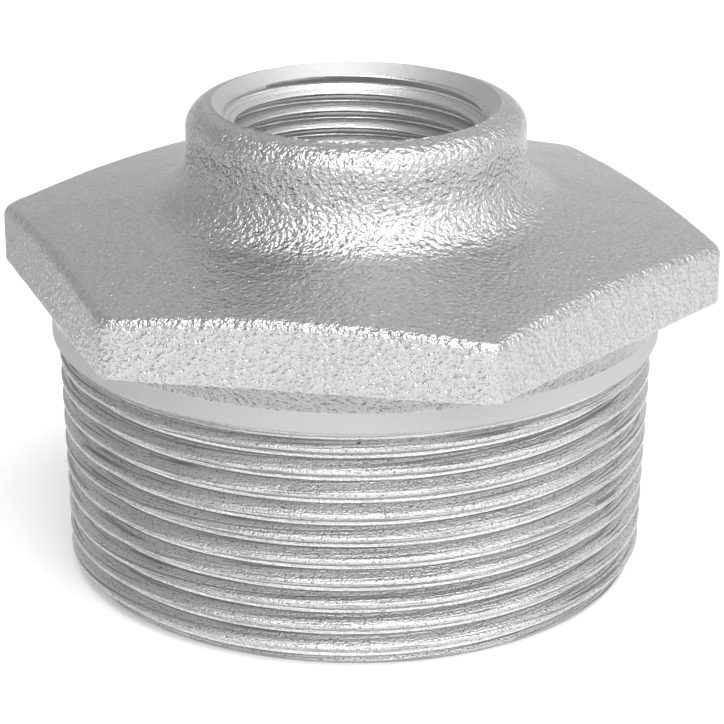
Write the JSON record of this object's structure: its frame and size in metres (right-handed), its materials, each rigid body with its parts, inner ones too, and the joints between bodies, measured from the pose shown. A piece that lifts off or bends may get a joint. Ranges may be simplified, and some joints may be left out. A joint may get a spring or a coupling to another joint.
{
  "type": "hex bushing",
  "caption": "Galvanised malleable-iron hexagon reducing bushing: male taper pipe thread below a wrench hexagon, female pipe thread through a raised collar.",
  "frame": {"origin": "centre of the male end face, at the bottom of the part", "axes": "+Z along the thread axis, towards the female end; +X through a corner of the hexagon"},
  "size_m": [0.0732, 0.064, 0.048],
  "materials": {
    "galvanised_iron": "satin"
  },
  "bodies": {
    "root": {"hex_bushing": "galvanised_iron"}
  },
  "joints": []
}
